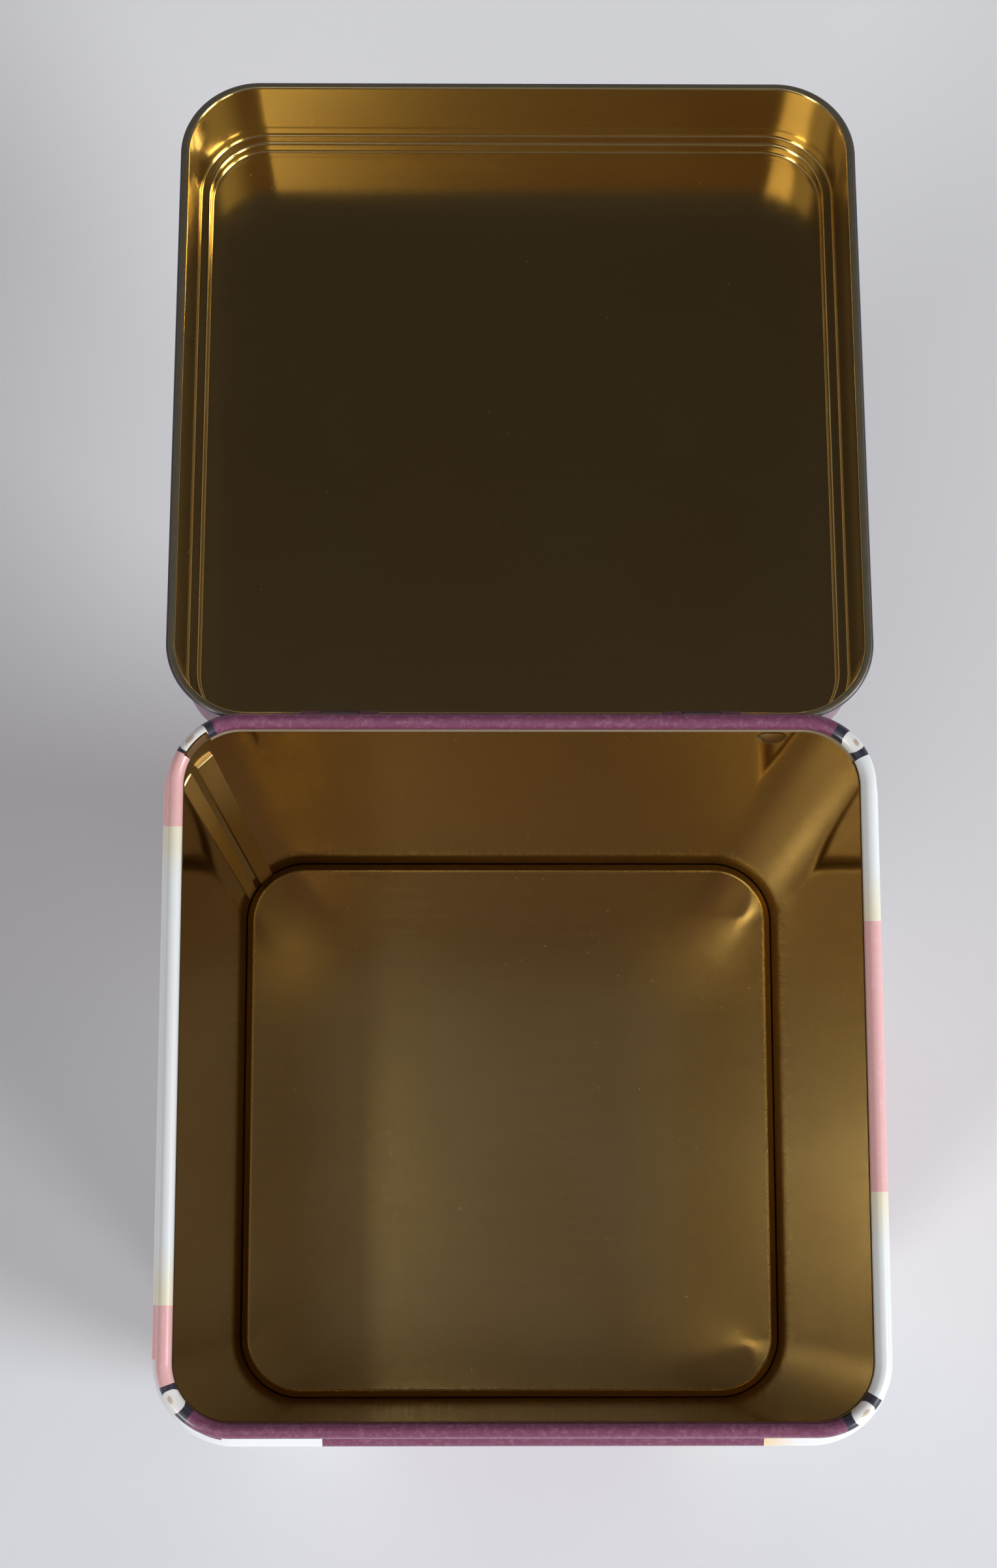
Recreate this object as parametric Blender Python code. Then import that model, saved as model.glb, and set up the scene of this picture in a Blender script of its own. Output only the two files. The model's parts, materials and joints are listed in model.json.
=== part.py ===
# Hinged metal tin, open at rest: body wall, base end, lid and two hinge pins
import math

import bmesh
import bpy

# Stock and fits, in metres
sheet = 0.00025
fit_gap = 0.0003
join_inset = 0.00002

# Body: a rounded square sheet wall, necked in under a curled rim
tin_height = 0.1695
neck_half = 0.055
neck_corner_radius = 0.01125
wall_stand_out = 0.00175
shoulder_drop = 0.0118
neck_drop = 0.01
rim_curl_radius = 0.0012
rim_curl_steps = 8
lip_length = 0.0024
curl_step = math.radians(22.5)
corner_steps = 10
shoulder_steps = 6

# Lock seam down the inside of the rear left corner
seam_strips = ((125.0, 141.0, 0.00045), (146.0, 160.0, 0.0003))
seam_ramp_degrees = 0.6
seam_foot = 0.0039
seam_top_drop = 0.0135
seam_end_ramp = 0.0001

# Stop dimple pressed in from the back
dimple_x = 0.0418
dimple_drop = 0.0272
dimple_radius = 0.0027
dimple_height = 0.0015

# Base end: a countersunk panel seamed round the foot of the wall
panel_height = 0.0033
panel_edge_inset = 0.00015
edge_bend_radius = 0.0003
edge_slope = math.radians(40)
foot_bend_radius = 0.00025
seam_height = 0.003
seam_fold_radius = 0.0002
seam_fold_tail = 0.0013

# Lid: a drawn cover with an outward hem curl, a ledge and a raised panel
lid_inner_gap = 0.00075
lid_forward_shift = 0.0002
lid_hem_drop = 0.0106
hem_curl_radius = 0.000625
hem_curl_steps = 12
ledge_depth = 0.0165
panel_depth = 0.0191
ledge_corner_radius = 0.000525
step_bend_radius = 0.00045
ledge_inner_offset = -0.0005
panel_offset = -0.0014

# Hinges: lanced knuckles rolled round two wire pins
hinge_stand_out = 0.0004
hinge_drop = 0.01355
hinge_spread = 0.029
pin_radius = 0.0004
pin_clearance = 0.0002
pin_length = 0.0128
window_width = 0.0135
window_below = 0.0014
window_above = 0.005
lid_knuckle_width = 0.0058
side_clearance = 0.0003
body_knuckle_end = 0.00625
knuckle_steps = 12
hem_notch_width = 0.0072
tab_root = 0.0006

# Values that follow from the sizes above
half_sheet = sheet / 2
hinge_from_centre = neck_half + wall_stand_out + hinge_stand_out
wall_mid = wall_stand_out - half_sheet
corner_centre = neck_half - neck_corner_radius
hinge_height = tin_height - hinge_drop
hem_height = tin_height - lid_hem_drop
knuckle_mid = pin_radius + pin_clearance + half_sheet


def offset_line(line, distance):
    """The line moved sideways by a distance, with mitred corners."""
    moved = []
    for index, (x, y) in enumerate(line):
        before = line[max(index - 1, 0)]
        after = line[min(index + 1, len(line) - 1)]
        normals = []
        for start, end in ((before, (x, y)), ((x, y), after)):
            run = math.hypot(end[0] - start[0], end[1] - start[1])
            if run > 0:
                normals.append(((start[1] - end[1]) / run, (end[0] - start[0]) / run))
        nx = sum(normal[0] for normal in normals)
        ny = sum(normal[1] for normal in normals)
        scale = len(normals) * distance / (nx * nx + ny * ny)
        moved.append((x + nx * scale, y + ny * scale))
    return moved


def arc(centre, radius, start, step, count):
    """Points along an arc, the first at the start angle."""
    points = []
    for index in range(count + 1):
        angle = start + step * index
        points.append((centre[0] + radius * math.cos(angle), centre[1] + radius * math.sin(angle)))
    return points


def corner_angles(extra):
    """Station angles round the four corners, with extra ones where asked."""
    angles = set(extra)
    for quadrant in range(4):
        for step in range(corner_steps + 1):
            angles.add((quadrant, 90 * quadrant + 90 * step / corner_steps))
    return sorted(angles)


def sweep(name, loop, stations, shift_y, closed_loop):
    """A sheet profile carried round the rounded square: loop points are (offset, z, follows the seam)."""
    mesh = bmesh.new()
    rings = []
    for quadrant, angle in stations:
        turn = math.radians(angle)
        side_x = 1 if quadrant in (0, 3) else -1
        side_y = 1 if quadrant in (0, 1) else -1
        raised = seam_rise(quadrant, angle)
        ring = []
        for offset, z, on_seam in loop:
            radius = neck_corner_radius + offset - (raised if on_seam else 0)
            x = side_x * corner_centre + radius * math.cos(turn)
            y = side_y * corner_centre + radius * math.sin(turn) + shift_y
            ring.append(mesh.verts.new((x, y, z)))
        rings.append(ring)
    last = len(loop) if closed_loop else len(loop) - 1
    for index, ring in enumerate(rings):
        following = rings[(index + 1) % len(rings)]
        for row in range(last):
            up = (row + 1) % len(loop)
            mesh.faces.new((ring[row], following[row], following[up], ring[up]))
    if not closed_loop:
        mesh.faces.new([ring[0] for ring in rings])
        mesh.faces.new([ring[-1] for ring in rings])
    return finish(name, mesh)


def prism(name, outlines):
    """Closed prisms along X: each outline is ((y, z) points, x start, x end)."""
    mesh = bmesh.new()
    for points, start, end in outlines:
        ends = []
        for x in (start, end):
            ends.append([mesh.verts.new((x, y, z)) for y, z in points])
        mesh.faces.new(ends[0])
        mesh.faces.new(ends[1])
        for index in range(len(points)):
            after = (index + 1) % len(points)
            mesh.faces.new((ends[0][index], ends[0][after], ends[1][after], ends[1][index]))
    return finish(name, mesh)


def finish(name, mesh):
    """Turns the faces outwards and makes the object."""
    bmesh.ops.recalc_face_normals(mesh, faces=mesh.faces)
    data = bpy.data.meshes.new(name)
    mesh.to_mesh(data)
    mesh.free()
    made = bpy.data.objects.new(name, data)
    bpy.context.collection.objects.link(made)
    return made


def seam_rise(quadrant, angle):
    """How far the lock seam stands in at this angle."""
    if quadrant != 1:
        return 0
    for start, end, height in seam_strips:
        if start <= angle <= end:
            return height
    return 0


def helper(made, parent):
    """A tool body: it shapes its parent and isn't drawn itself."""
    made.parent = parent
    made.hide_render = True
    made.display_type = "WIRE"
    return made


def combine(target, tool, operation, label):
    step = target.modifiers.new(label, "BOOLEAN")
    step.operation = operation
    step.solver = "EXACT"
    step.object = tool


def paint(made, colour, metallic, roughness):
    material = bpy.data.materials.new(made.name + "_finish")
    material.use_nodes = True
    shader = material.node_tree.nodes["Principled BSDF"]
    shader.inputs["Base Color"].default_value = (*colour, 1)
    shader.inputs["Metallic"].default_value = metallic
    shader.inputs["Roughness"].default_value = roughness
    made.data.materials.append(material)


def sheet_outline(line, thickness):
    """The closed outline of a bent strip about its middle line."""
    return offset_line(line, thickness / 2) + offset_line(line, -thickness / 2)[::-1]


def box_outline(y_low, y_high, z_low, z_high):
    return [(y_low, z_low), (y_high, z_low), (y_high, z_high), (y_low, z_high)]


# A clear scene
for old in list(bpy.data.objects):
    bpy.data.objects.remove(old, do_unlink=True)

# Body wall: foot, straight wall, shoulder, neck, inward rim curl and its lip
seam_top = tin_height - seam_top_drop
wall_line = [(wall_mid, sheet + fit_gap)]
wall_line += [(wall_mid, seam_foot), (wall_mid, seam_foot + seam_end_ramp)]
wall_line += [(wall_mid, seam_top - seam_end_ramp), (wall_mid, seam_top)]
for index in range(shoulder_steps + 1):
    share = index / shoulder_steps
    inward = (1 - math.cos(math.pi * share)) / 2
    rise = (shoulder_drop - neck_drop) * share
    wall_line.append((wall_mid - wall_stand_out * inward, tin_height - shoulder_drop + rise))
curl_centre = (-rim_curl_radius, tin_height - rim_curl_radius)
wall_line += arc(curl_centre, rim_curl_radius - half_sheet, 0, curl_step, rim_curl_steps)
wall_line.append((wall_line[-1][0], curl_centre[1] - lip_length))
inside = []
for index, point in enumerate(offset_line(wall_line, half_sheet)):
    inside.append((*point, index in (2, 3)))
outside = []
for point in offset_line(wall_line, -half_sheet):
    outside.append((*point, False))
ramps = []
for start, end, height in seam_strips:
    ramps += [(1, start - seam_ramp_degrees), (1, start), (1, end), (1, end + seam_ramp_degrees)]
body_wall = sweep("body_wall", inside + outside[::-1], corner_angles(ramps), 0, True)
body_wall.location = (0, -hinge_from_centre, 0)

# Hinge windows lanced through neck, shoulder and wall
window_box = box_outline(
    neck_half - rim_curl_radius,
    hinge_from_centre,
    hinge_height - window_below,
    hinge_height + window_above,
)
windows = []
for side in (-1, 1):
    middle = side * hinge_spread
    windows.append((window_box, middle - window_width / 2, middle + window_width / 2))
window_cutter = helper(prism("hinge_window_cutter", windows), body_wall)
combine(body_wall, window_cutter, "DIFFERENCE", "Hinge windows")

# Body knuckles: tabs joggled from the wall and rolled outwards over the pins
wall_from_pin = neck_half + wall_mid - hinge_from_centre
knuckle_line = [
    (hinge_from_centre + wall_from_pin, hinge_height - window_below - tab_root),
    (hinge_from_centre + wall_from_pin, hinge_height - window_below),
    (hinge_from_centre - knuckle_mid, hinge_height - knuckle_mid),
]
knuckle_line += arc(
    (hinge_from_centre, hinge_height), knuckle_mid, math.pi, -curl_step, knuckle_steps
)
knuckle_outline = sheet_outline(knuckle_line, sheet - 2 * join_inset)
body_knuckle_start = lid_knuckle_width / 2 + side_clearance
knuckles = []
for side in (-1, 1):
    for end in (-1, 1):
        edges = sorted(
            (
                side * hinge_spread + end * body_knuckle_start,
                side * hinge_spread + end * body_knuckle_end,
            )
        )
        knuckles.append((knuckle_outline, *edges))
knuckle_tabs = helper(prism("body_knuckle_tabs", knuckles), body_wall)
combine(body_wall, knuckle_tabs, "UNION", "Body knuckles")

# Dimple: a shallow cap added inside, then hollowed from the back
cap_radius = (dimple_radius**2 + dimple_height**2) / (2 * dimple_height)
wall_inner_face = neck_half + wall_stand_out - sheet
cap_centre_y = wall_inner_face - dimple_height + cap_radius
dimple_z = tin_height - dimple_drop
dimple_segments = 24
dimple_rings = 5
cap_back = wall_inner_face + half_sheet
cap_angle = math.acos((cap_centre_y - cap_back) / cap_radius)
cap = bmesh.new()
tip = cap.verts.new((dimple_x, cap_centre_y - cap_radius, dimple_z))
rows = []
for ring in range(1, dimple_rings + 1):
    lean = cap_angle * ring / dimple_rings
    row = []
    for segment in range(dimple_segments):
        turn = math.tau * segment / dimple_segments
        x = dimple_x + cap_radius * math.sin(lean) * math.cos(turn)
        z = dimple_z + cap_radius * math.sin(lean) * math.sin(turn)
        row.append(cap.verts.new((x, cap_centre_y - cap_radius * math.cos(lean), z)))
    rows.append(row)
for segment in range(dimple_segments):
    after = (segment + 1) % dimple_segments
    cap.faces.new((tip, rows[0][segment], rows[0][after]))
    for inner, outer in zip(rows, rows[1:]):
        cap.faces.new((inner[segment], outer[segment], outer[after], inner[after]))
cap.faces.new(rows[-1])
dimple_cap = helper(finish("dimple_cap", cap), body_wall)
combine(body_wall, dimple_cap, "UNION", "Dimple cap")
hollow = bmesh.new()
bmesh.ops.create_uvsphere(
    hollow, u_segments=dimple_segments, v_segments=dimple_segments // 2, radius=cap_radius - sheet
)
dimple_hollow = helper(finish("dimple_hollow", hollow), body_wall)
dimple_hollow.location = (dimple_x, cap_centre_y, dimple_z)
dimple_hollow.rotation_euler = (math.pi / 2, 0, 0)
combine(body_wall, dimple_hollow, "DIFFERENCE", "Dimple hollow")

# Base end: panel with a sloping edge, countersink wall, rest ring and folded seam
panel_mid = panel_height - half_sheet
chuck_mid = wall_stand_out - sheet - fit_gap - half_sheet
slope_width = chuck_mid + panel_edge_inset - edge_bend_radius
slope_foot = panel_mid - edge_bend_radius - slope_width * math.tan(edge_slope)
end_line = [(-panel_edge_inset - edge_bend_radius, panel_mid)]
bend_middle = (-panel_edge_inset, panel_mid - edge_bend_radius)
end_line += arc(bend_middle, edge_bend_radius, math.pi / 2, -edge_slope / 2, 2)
bend_middle = (chuck_mid - edge_bend_radius, slope_foot)
last_turn = math.pi / 2 - edge_slope
end_line += arc(bend_middle, edge_bend_radius, last_turn, -last_turn / 2, 2)
bend_middle = (chuck_mid + foot_bend_radius, half_sheet + foot_bend_radius)
end_line += arc(bend_middle, foot_bend_radius, math.pi, 2 * curl_step, 2)
fold_inner = wall_stand_out + fit_gap + half_sheet
fold_outer = fold_inner + 2 * seam_fold_radius
bend_middle = (fold_outer - foot_bend_radius, half_sheet + foot_bend_radius)
end_line += arc(bend_middle, foot_bend_radius, -math.pi / 2, 2 * curl_step, 2)
fold_middle = (fold_inner + seam_fold_radius, seam_height - half_sheet - seam_fold_radius)
end_line += arc(fold_middle, seam_fold_radius, 0, 2 * curl_step, 4)
end_line.append((fold_inner, seam_height - seam_fold_tail))
upper = [(*point, False) for point in offset_line(end_line, half_sheet)]
lower = [(*point, False) for point in offset_line(end_line, -half_sheet)]
base_end = sweep("base_end", upper + lower[::-1], corner_angles(()), 0, False)
base_end.parent = body_wall

# Lid, drawn shut about the hinge axis and then swung back to its stop
skirt_mid = lid_inner_gap + half_sheet
skirt_foot = (skirt_mid, hem_height + hem_curl_radius)
ledge_mid = hem_height + ledge_depth + half_sheet
top_mid = hem_height + panel_depth + half_sheet
hem_mid = hem_curl_radius - half_sheet
lid_line = [(panel_offset - step_bend_radius, top_mid)]
step_line = (panel_offset + ledge_inner_offset) / 2
lid_line += arc(
    (step_line - step_bend_radius, top_mid - step_bend_radius),
    step_bend_radius,
    math.pi / 2,
    -curl_step,
    4,
)
lid_line += arc(
    (step_line + step_bend_radius, ledge_mid + step_bend_radius),
    step_bend_radius,
    math.pi,
    curl_step,
    4,
)
lid_line += arc(
    (skirt_mid - ledge_corner_radius, ledge_mid - ledge_corner_radius),
    ledge_corner_radius,
    math.pi / 2,
    -curl_step,
    4,
)
lid_line += arc((skirt_mid + hem_mid, skirt_foot[1]), hem_mid, math.pi, curl_step, hem_curl_steps)
upper = [(point[0], point[1] - hinge_height, False) for point in offset_line(lid_line, half_sheet)]
lower = [(point[0], point[1] - hinge_height, False) for point in offset_line(lid_line, -half_sheet)]
lid_shift = -hinge_from_centre - lid_forward_shift
lid = sweep("lid", upper + lower[::-1], corner_angles(()), lid_shift, False)
lean_room = 2 * (hinge_from_centre - neck_half) - wall_stand_out - fit_gap
lean_room += lid_forward_shift - skirt_mid - half_sheet
lean_depth = ledge_mid - ledge_corner_radius - hinge_height
lid_lean = math.asin(lean_room / lean_depth)
lid.location = (0, 0, hinge_height)
lid.rotation_euler = (-math.pi - lid_lean, 0, 0)

# Notches in the hem curl, and the lid knuckles that come down through them
skirt_back = neck_half + skirt_mid - hinge_from_centre - lid_forward_shift
notch_top = skirt_foot[1] + hem_curl_radius + fit_gap - hinge_height
notch_box = box_outline(
    skirt_back - 2 * sheet,
    skirt_back + 2 * hem_curl_radius + sheet,
    hem_height - hinge_height - sheet,
    notch_top,
)
notches = []
for side in (-1, 1):
    middle = side * hinge_spread
    notches.append((notch_box, middle - hem_notch_width / 2, middle + hem_notch_width / 2))
notch_cutter = helper(prism("hem_notch_cutter", notches), lid)
combine(lid, notch_cutter, "DIFFERENCE", "Hem notches")
tab_line = [(skirt_back, notch_top + tab_root), (skirt_back, hem_height - hinge_height)]
tab_line.append((-knuckle_mid, knuckle_mid))
tab_line += arc((0, 0), knuckle_mid, math.pi, curl_step, knuckle_steps)
tab_outline = sheet_outline(tab_line, sheet - 2 * join_inset)
tabs = []
for side in (-1, 1):
    middle = side * hinge_spread
    tabs.append((tab_outline, middle - lid_knuckle_width / 2, middle + lid_knuckle_width / 2))
lid_tabs = helper(prism("lid_knuckle_tabs", tabs), lid)
combine(lid, lid_tabs, "UNION", "Lid knuckles")

# Hinge pins
pins = []
for name, side in (("left_hinge_pin", -1), ("right_hinge_pin", 1)):
    wire = bmesh.new()
    bmesh.ops.create_cone(
        wire,
        cap_ends=True,
        segments=24,
        radius1=pin_radius,
        radius2=pin_radius,
        depth=pin_length,
    )
    pin = finish(name, wire)
    pin.parent = body_wall
    pin.location = (side * hinge_spread, hinge_from_centre, hinge_height)
    pin.rotation_euler = (0, math.pi / 2, 0)
    pins.append(pin)

# Finishes
paint(body_wall, (0.16, 0.11, 0.045), 0.8, 0.35)
paint(base_end, (0.2, 0.15, 0.06), 0.8, 0.35)
paint(lid, (0.42, 0.3, 0.09), 0.85, 0.32)
for pin in pins:
    paint(pin, (0.55, 0.55, 0.56), 1, 0.3)
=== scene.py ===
import json
import math

import bpy
from mathutils import Matrix, Vector


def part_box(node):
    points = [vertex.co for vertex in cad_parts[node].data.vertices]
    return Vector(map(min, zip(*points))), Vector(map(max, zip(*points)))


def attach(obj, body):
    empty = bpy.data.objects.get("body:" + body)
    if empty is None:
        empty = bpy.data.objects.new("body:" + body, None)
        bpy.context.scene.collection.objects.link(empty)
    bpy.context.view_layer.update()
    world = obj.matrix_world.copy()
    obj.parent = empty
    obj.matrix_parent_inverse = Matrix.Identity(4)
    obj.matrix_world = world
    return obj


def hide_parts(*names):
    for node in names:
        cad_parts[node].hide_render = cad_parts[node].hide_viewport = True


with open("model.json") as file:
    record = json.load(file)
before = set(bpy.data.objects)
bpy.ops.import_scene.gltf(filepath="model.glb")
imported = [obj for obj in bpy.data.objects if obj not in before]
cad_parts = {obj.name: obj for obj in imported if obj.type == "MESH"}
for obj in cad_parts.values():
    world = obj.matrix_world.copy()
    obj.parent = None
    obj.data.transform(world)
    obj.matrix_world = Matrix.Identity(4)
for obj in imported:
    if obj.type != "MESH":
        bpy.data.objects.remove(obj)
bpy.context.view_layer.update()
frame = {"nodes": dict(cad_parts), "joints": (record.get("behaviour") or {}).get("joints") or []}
print("frame loaded:", ", ".join(sorted(frame["nodes"])))

mm = 0.001
sheet = 0.25 * mm
hinge = Vector(frame["joints"][0]["pos_m"])
baseLow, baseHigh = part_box("base_end")
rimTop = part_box("body_wall")[1].z
bodyCentre = Vector((0, (baseLow.y + baseHigh.y) / 2, 0))
neckHalf = 55 * mm
mergeGap = 0.004 * mm


# Shader maths: a wrapped socket that adds its own nodes

class Flow:
    def __init__(self, tree, socket=None):
        self.tree = tree
        self.socket = socket

    def node(self, kind, settings=None, links=None, output=0):
        made = self.tree.nodes.new(kind)
        for key, value in (settings or {}).items():
            if key == "stops":
                fillRamp(made.color_ramp, value)
            else:
                setattr(made, key, value)
        for key, value in (links or {}).items():
            if isinstance(value, Flow):
                self.tree.links.new(value.socket, made.inputs[key])
            else:
                made.inputs[key].default_value = value
        return Flow(self.tree, made.outputs[output])

    def calc(self, operation, *terms):
        return self.node("ShaderNodeMath", {"operation": operation}, dict(enumerate(terms)))

    def other(self, output):
        return Flow(self.tree, self.socket.node.outputs[output])

    def __add__(self, value):
        return self.calc("ADD", self, value)

    def __radd__(self, value):
        return self.calc("ADD", value, self)

    def __sub__(self, value):
        return self.calc("SUBTRACT", self, value)

    def __rsub__(self, value):
        return self.calc("SUBTRACT", value, self)

    def __mul__(self, value):
        return self.calc("MULTIPLY", self, value)

    def __rmul__(self, value):
        return self.calc("MULTIPLY", value, self)

    def __truediv__(self, value):
        return self.calc("DIVIDE", self, value)

    def __gt__(self, value):
        return self.calc("GREATER_THAN", self, value)

    def __lt__(self, value):
        return self.calc("LESS_THAN", self, value)

    def __abs__(self):
        return self.calc("ABSOLUTE", self)

    def least(self, value):
        return self.calc("MINIMUM", self, value)

    def most(self, value):
        return self.calc("MAXIMUM", self, value)

    def easeBetween(self, low, high):
        limits = {"Value": self, "From Min": low, "From Max": high}
        return self.node("ShaderNodeMapRange", {"interpolation_type": "SMOOTHSTEP"}, limits)

    def tint(self, first, second):
        return self.node("ShaderNodeMix", {"data_type": "RGBA"}, {0: self, 6: first, 7: second}, 2)

    def noise(self, scale, detail=2.0, rough=0.5):
        links = {"Vector": self, "Scale": scale, "Detail": detail, "Roughness": rough}
        return self.node("ShaderNodeTexNoise", {}, links)

    def stretch(self, scale):
        return self.node("ShaderNodeMapping", {}, {"Vector": self, "Scale": scale})


def fillRamp(ramp, stops):
    while len(ramp.elements) < len(stops):
        ramp.elements.new(1.0)
    for element, (place, tone) in zip(ramp.elements, stops):
        element.position = place
        element.color = (*tone, 1.0)


def startMaterial(name):
    material = bpy.data.materials.new(name)
    material.use_nodes = True
    tree = material.node_tree
    shader = tree.nodes["Principled BSDF"]
    place = Flow(tree).node("ShaderNodeTexCoord", output=3)
    return material, shader, place


def feed(shader, socket, flow):
    flow.tree.links.new(flow.socket, shader.inputs[socket])


def addRelief(shader, height, strength, distance):
    links = {"Strength": strength, "Distance": distance, "Height": height}
    feed(shader, "Normal", height.node("ShaderNodeBump", {}, links))


# Gold lacquer: rolled grain, handling marks and fine dust

lacquer = {
    "gold": (0.74, 0.56, 0.225, 1),
    "deepGold": (0.70, 0.51, 0.195, 1),
    "dust": (0.80, 0.68, 0.40, 1),
    "grainPerMetre": 2600,
    "rolledPerMetre": 700.0,
    "cloudPerMetre": 26.0,
    "dustPerMetre": 420,
    "dustyPerMetre": 130.0,
    "scratchPerMetre": 900.0,
    "scratchedPerMetre": 75.0,
    "scratchStretch": (1, 0.03, 0.03),
    "scratchTurns": (0.5, 1.9),
}


def goldLacquer(name, along, roughness, relief):
    material, shader, place = startMaterial(name)
    grain = place.noise(lacquer["grainPerMetre"], 3.0)
    rolled = place.stretch(along).noise(lacquer["rolledPerMetre"], 2.0)
    cloud = place.noise(lacquer["cloudPerMetre"], 3.0)
    cells = place.node("ShaderNodeTexVoronoi", {}, {"Vector": place, "Scale": lacquer["dustPerMetre"]})
    dusty = place.noise(lacquer["dustyPerMetre"]).easeBetween(0.55, 0.62)
    dust = (1 - cells.easeBetween(0.03, 0.07)) * dusty
    scratch = dust * 0
    for turn in lacquer["scratchTurns"]:
        links = {"Vector": place, "Rotation": (0, 0, turn), "Scale": lacquer["scratchStretch"]}
        turned = place.node("ShaderNodeMapping", {}, links)
        line = turned.noise(lacquer["scratchPerMetre"], 1.0).easeBetween(0.70, 0.74)
        scratched = place.noise(lacquer["scratchedPerMetre"]).easeBetween(0.58, 0.66)
        scratch = scratch.most(line * scratched)
    tone = cloud.easeBetween(0.35, 0.65).tint(lacquer["gold"], lacquer["deepGold"])
    feed(shader, "Base Color", (dust * 0.5).tint(tone, lacquer["dust"]))
    feed(shader, "Roughness", grain * 0.08 + rolled * 0.04 + cloud * 0.06 + dust * 0.2 + (roughness - 0.09))
    shader.inputs["Metallic"].default_value = 1.0
    addRelief(shader, grain * 0.4 + dust * 2.0 - scratch * 1.5, relief, 0.00001)
    return material


# Lacquer for edges, folds, grooves and the hem: painted highlights on edges and folds, partly real wear on
# the edge, and painted shade in grooves; roughness and two tones

rubbed = {
    "wornEdgeAndHighlight": (0.22, (0.84, 0.68, 0.30, 1), (0.93, 0.80, 0.46, 1)),
    "paintedFoldHighlight": (0.36, (0.72, 0.55, 0.20, 1), (0.84, 0.68, 0.34, 1)),
    "paintedGrooveShade": (0.5, (0.46, 0.29, 0.11, 1), (0.38, 0.23, 0.09, 1)),
    "hemLacquer": (0.4, (0.33, 0.28, 0.18, 1), (0.42, 0.37, 0.25, 1)),
    "grainPerMetre": 1400.0,
}


def rubbedLacquer(name):
    roughness, first, second = rubbed[name]
    material, shader, place = startMaterial(name)
    grain = place.noise(rubbed["grainPerMetre"], 4.0, 0.7)
    feed(shader, "Base Color", grain.tint(first, second))
    feed(shader, "Roughness", grain * 0.1 + roughness)
    shader.inputs["Metallic"].default_value = 1.0
    return material


wornEdgeAndHighlight = rubbedLacquer("wornEdgeAndHighlight")
paintedFoldHighlight = rubbedLacquer("paintedFoldHighlight")
paintedGrooveShade = rubbedLacquer("paintedGrooveShade")


# Print: plum ends, broad pale and rose side panels, pearls up the corners

printInk = {
    "plum": (0.185, 0.052, 0.105, 1),
    "plumLight": (0.30, 0.125, 0.20, 1),
    "navy": (0.032, 0.031, 0.050, 1),
    "pearl": (0.88, 0.87, 0.83, 1),
    "pearlShade": (0.50, 0.36, 0.24, 1),
    "rose": (0.86, 0.47, 0.46, 1),
    "roseLight": (0.86, 0.53, 0.51, 1),
    "cream": (0.86, 0.80, 0.60, 1),
    "peach": (0.86, 0.68, 0.46, 1),
    "white": (0.83, 0.86, 0.86, 1),
    "mottlePerMetre": 420.0,
    "fleckPerMetre": 1500.0,
    "blushPerMetre": 1100.0,
}
panels = {
    "cornerCentre": 43.75 * mm,
    "cornerRadius": 11.25 * mm,
    "columnStart": (28.0, 25.0, 20.0, 31.0),
    "columnEnd": (65.0, 60.5, 53.0, 66.5),
    "pearlAngle": (44.5, 41.0, 34.5, 48.5),
    "pearlSpread": (13.5, 9.2, 9.8, 9.8),
    "pearlPitch": 8.4 * mm,
    "pearlHalf": 1.9 * mm,
    "shoulderWhite": (-45.8 * mm, -30.5 * mm),
    "shoulderPeach": 36.7 * mm,
    "leftRoseBack": 37.0 * mm,
    "leftRoseFront": -35.5 * mm,
    "rightRoseBack": 22.3 * mm,
    "rightRoseFront": -18.8 * mm,
    "creamFade": 10.0 * mm,
    "peachFade": 6 * mm,
    "slantFrom": 31 * mm,
    "slantBelow": -12 * mm,
    "slantReach": 413 * mm,
    "shoulderTop": -9.5 * mm,
    "edgingOut": 0.9 * mm,
    "beadFoot": -2.0 * mm,
    "beadPearlShift": 1.15 * mm,
    "beadPearlHalf": 1.45 * mm,
    "wallPearlShift": 2.2 * mm,
    "pearlGap": (-14 * mm, -9.0 * mm),
    "lidTop": 6.0 * mm,
    "lidNavy": (-8.9 * mm, 8.6 * mm),
    "lidRing": (6.4 * mm, 7.0 * mm),
}


def perCorner(x, y, values):
    # one number for each corner: rear left, rear right, front left, front right
    right, rear = x > 0, y > 0
    behind = right * (values[1] - values[0]) + values[0]
    before = right * (values[3] - values[2]) + values[2]
    return behind * rear + before * (1 - rear)


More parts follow.
